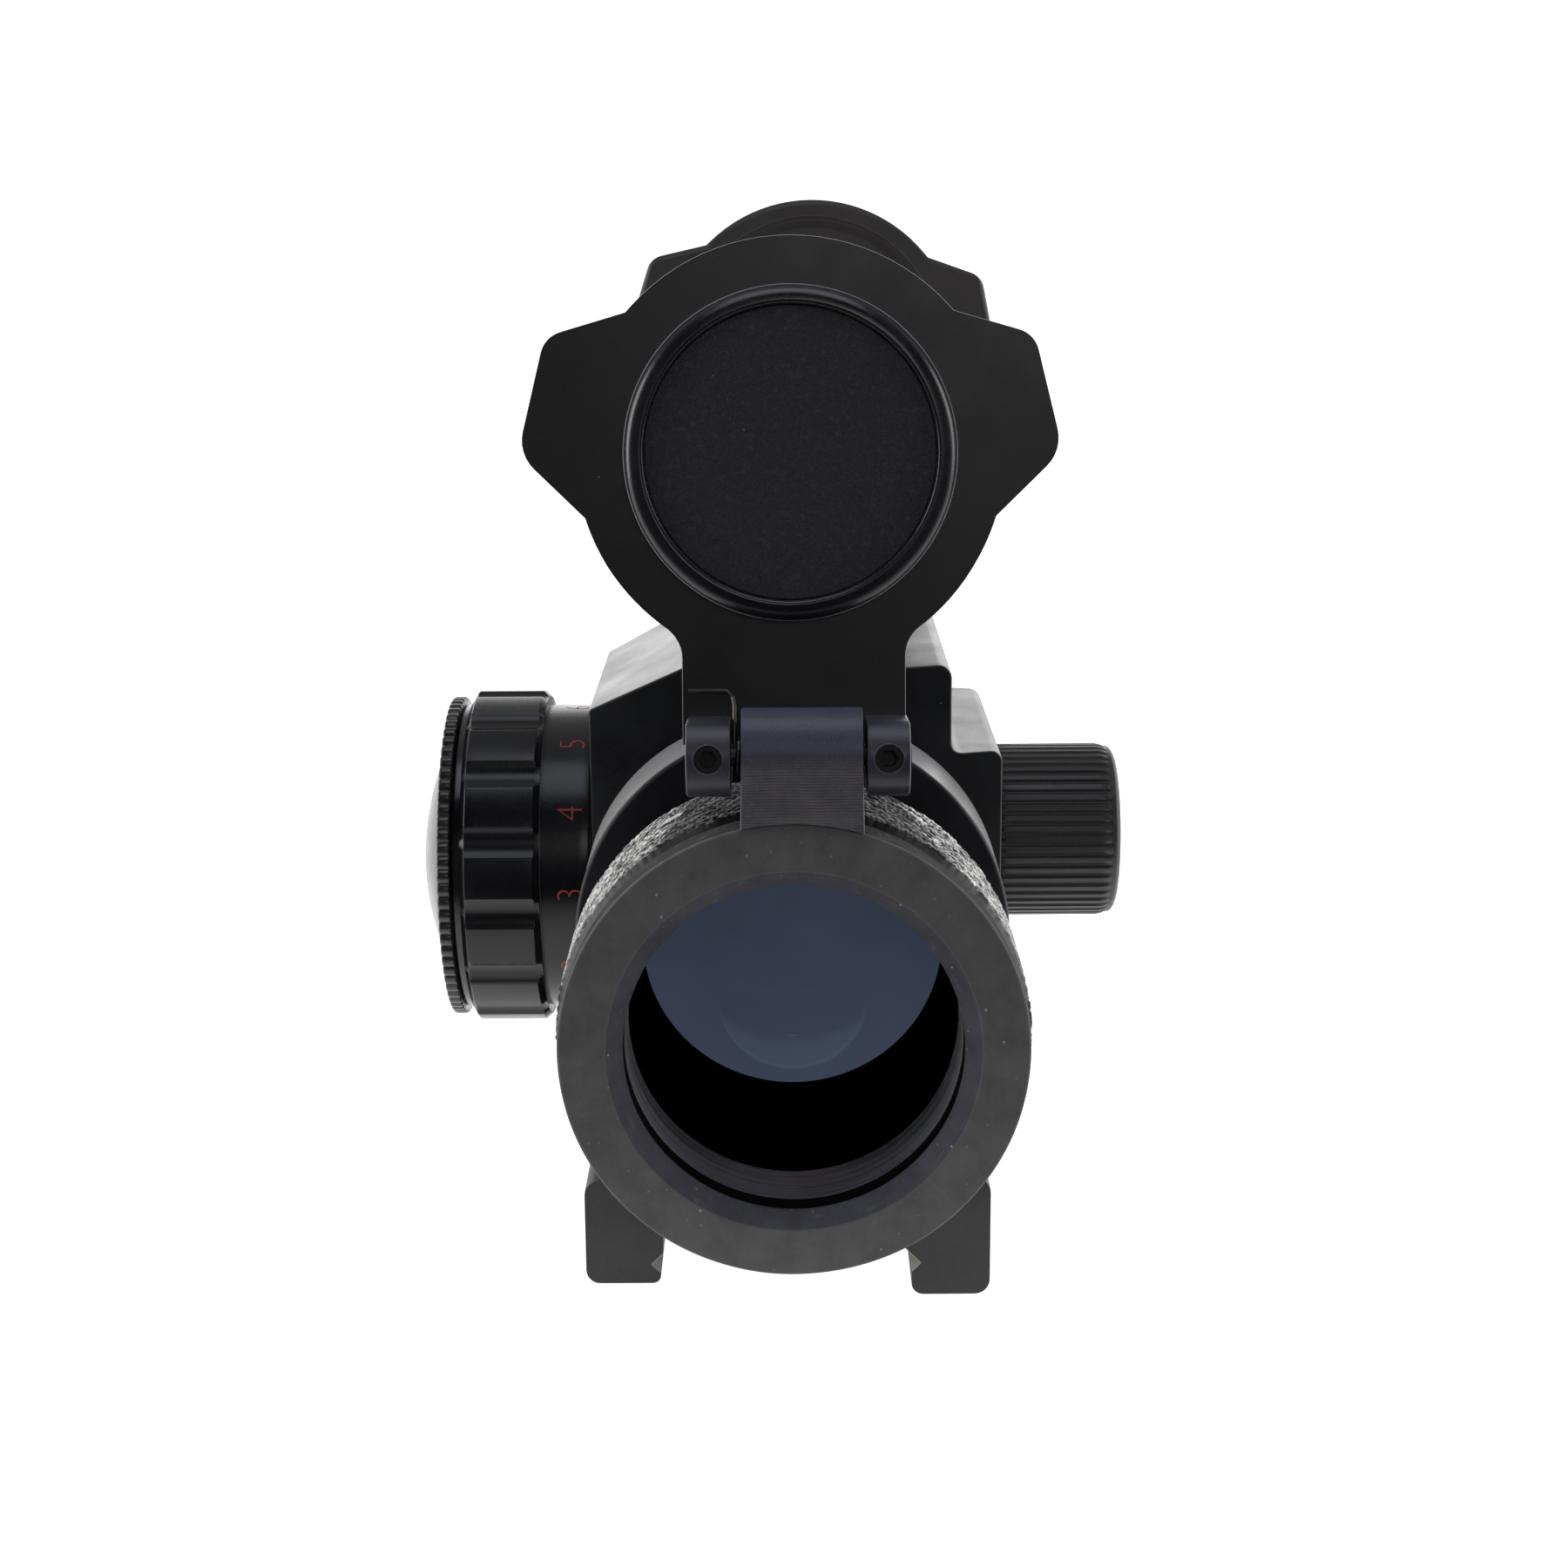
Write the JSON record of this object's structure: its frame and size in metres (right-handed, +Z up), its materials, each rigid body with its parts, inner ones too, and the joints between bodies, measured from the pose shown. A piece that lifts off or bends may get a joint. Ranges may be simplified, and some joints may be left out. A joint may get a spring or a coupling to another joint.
{
  "type": "red dot finder",
  "caption": "Tube red dot finder with flip-up covers, a brightness dial on the left, capped elevation and windage turrets, and a dovetail rail clamp with a moving jaw.",
  "frame": {"origin": "centre of the flat seat that rests on the rail, at mid-length", "axes": "+Y forward along the line of sight, +X right seen from behind, +Z up"},
  "size_m": [0.0617, 0.1054, 0.0891],
  "materials": {
    "anodised": "black anodised, satin",
    "knurled_anodised": "black anodised over a fine diamond knurl",
    "ring_rubber": "matt, lightly scuffed",
    "seal_rubber": "matt",
    "window_glass": "coated, blue reflection",
    "lens_glass": "coated, red reflection",
    "cover_pad": "fine grain",
    "steel": "plain turned steel",
    "black_screw": "blackened steel",
    "brass": "turned",
    "contact_brass": "plated strip",
    "cap_plastic": "brown black, fine moulded grain",
    "dial_plastic": "moulded",
    "circuit_board": "solder mask",
    "led_plastic": "clear red",
    "wire_plastic": "insulated wire",
    "cell_steel": "bright nickel",
    "jaw_anodised": "warm grey anodised, satin"
  },
  "bodies": {
    "sight": {"body": "anodised", "rear_barrel": "anodised", "rear_bezel": "knurled_anodised", "rear_rubber_ring": "ring_rubber", "rear_window": "window_glass", "rear_window_ring": "anodised", "front_barrel": "anodised", "front_bezel": "knurled_anodised", "front_rubber_ring": "ring_rubber", "gimbal_pins": "steel", "led_wires": "wire_plastic", "return_spring": "steel", "elevation_bushing": "brass", "elevation_seal": "seal_rubber", "windage_bushing": "brass", "windage_seal": "seal_rubber", "dial_base": "dial_plastic", "dial_base_screws": "steel", "contact_board": "circuit_board", "detent_ball": "steel", "detent_spring": "steel", "dial_screw": "steel"},
    "rear_flip": {"rear_cover": "anodised", "rear_cover_pad": "cover_pad", "rear_hinge_pin": "steel", "rear_hinge_spring": "steel", "rear_hinge_grubs": "black_screw"},
    "front_flip": {"front_cover": "anodised", "front_cover_pad": "cover_pad", "front_hinge_pin": "steel", "front_hinge_spring": "steel", "front_hinge_grubs": "black_screw"},
    "gimbal": {"gimbal_ring": "steel"},
    "carrier": {"optic_carrier": "anodised", "carrier_pins": "steel", "objective_lens": "lens_glass", "objective_ring": "anodised", "led_holder": "dial_plastic", "led_emitter": "led_plastic"},
    "elevation_screw": {"elevation_adjuster": "brass"},
    "elevation_push": {"elevation_plunger": "steel"},
    "elevation_cover": {"elevation_cap": "cap_plastic"},
    "windage_screw": {"windage_adjuster": "brass"},
    "windage_push": {"windage_plunger": "steel"},
    "windage_cover": {"windage_cap": "cap_plastic"},
    "brightness": {"dial": "anodised", "wiper": "contact_brass", "battery_contact": "contact_brass"},
    "cell": {"battery": "cell_steel"},
    "cell_cover": {"battery_cap": "anodised", "battery_seal": "seal_rubber"},
    "jaw": {"clamp_jaw": "jaw_anodised", "clamp_guides": "steel"},
    "rear_clamp": {"clamp_screw_rear": "black_screw"},
    "front_clamp": {"clamp_screw_front": "black_screw"}
  },
  "joints": [
    {"name": "rear_cover_flip", "type": "hinge", "parent": "sight", "child": "rear_flip", "pos_m": [0.0004, -0.04859, 0.04688], "axis": [1, 0, 0], "range_deg": [0, 188], "stiffness_Nm_per_rad": 0.004, "springref_deg": -28.65},
    {"name": "front_cover_flip", "type": "hinge", "parent": "sight", "child": "front_flip", "pos_m": [0.00168, 0.04859, 0.04682], "axis": [-0.9982, 0, 0.0602], "range_deg": [0, 168.5], "stiffness_Nm_per_rad": 0.004, "springref_deg": -28.65},
    {"name": "brightness_turn", "type": "hinge", "parent": "sight", "child": "brightness", "pos_m": [-0.0235, 0, 0.02685], "axis": [1, 0, 0], "range_deg": [-180, 150]},
    {"name": "battery_cap_off", "type": "slide", "parent": "brightness", "child": "cell_cover", "axis": [-1, 0, 0], "range_m": [0, 0.018]},
    {"name": "battery_out", "type": "slide", "parent": "brightness", "child": "cell", "axis": [-1, 0, 0], "range_m": [0, 0.0108]},
    {"name": "elevation_cap_off", "type": "slide", "parent": "sight", "child": "elevation_cover", "axis": [0, 0, 1], "range_m": [0, 0.016]},
    {"name": "windage_cap_off", "type": "slide", "parent": "sight", "child": "windage_cover", "axis": [1, 0, 0], "range_m": [0, 0.016]},
    {"name": "elevation_turn", "type": "hinge", "parent": "sight", "child": "elevation_screw", "pos_m": [0, 0, 0.05], "axis": [0, 0, 1], "range_deg": [-180, 180]},
    {"name": "elevation_travel", "type": "slide", "parent": "sight", "child": "elevation_push", "axis": [0, 0, 1], "range_m": [-0.00013, 0.00013]},
    {"name": "carrier_pitch", "type": "hinge", "parent": "sight", "child": "gimbal", "pos_m": [0, -0.013, 0.0256], "axis": [1, 0, 0], "range_deg": [-0.6, 0.6]},
    {"name": "windage_turn", "type": "hinge", "parent": "sight", "child": "windage_screw", "pos_m": [0.02, 0, 0.0289], "axis": [1, 0, 0], "range_deg": [-180, 180]},
    {"name": "windage_travel", "type": "slide", "parent": "sight", "child": "windage_push", "axis": [1, 0, 0], "range_m": [-0.00013, 0.00013]},
    {"name": "carrier_yaw", "type": "hinge", "parent": "gimbal", "child": "carrier", "pos_m": [0, -0.013, 0.0256], "axis": [0, 0, 1], "range_deg": [-0.6, 0.6]},
    {"name": "jaw_slide", "type": "slide", "parent": "sight", "child": "jaw", "axis": [1, 0, 0], "range_m": [-0.0009, 0.00135]},
    {"name": "rear_screw_turn", "type": "hinge", "parent": "jaw", "child": "rear_clamp", "pos_m": [-0.015, -0.015, 0.0025], "axis": [1, 0, 0], "range_deg": [-721, 1081]},
    {"name": "front_screw_turn", "type": "hinge", "parent": "jaw", "child": "front_clamp", "pos_m": [-0.015, 0.015, 0.0025], "axis": [1, 0, 0], "range_deg": [-721, 1081]}
  ],
  "couplings": [
    {"joint": "battery_out", "follows": "battery_cap_off", "ratio": 0.6},
    {"joint": "elevation_travel", "follows": "elevation_turn", "m_per_rad": 0.000039789},
    {"joint": "carrier_pitch", "follows": "elevation_turn", "ratio": 0.0030607},
    {"joint": "windage_travel", "follows": "windage_turn", "m_per_rad": 0.000039789},
    {"joint": "carrier_yaw", "follows": "windage_turn", "ratio": -0.0030607},
    {"joint": "rear_screw_turn", "follows": "jaw_slide", "rad_per_m": 13963},
    {"joint": "front_screw_turn", "follows": "jaw_slide", "rad_per_m": 13963}
  ]
}
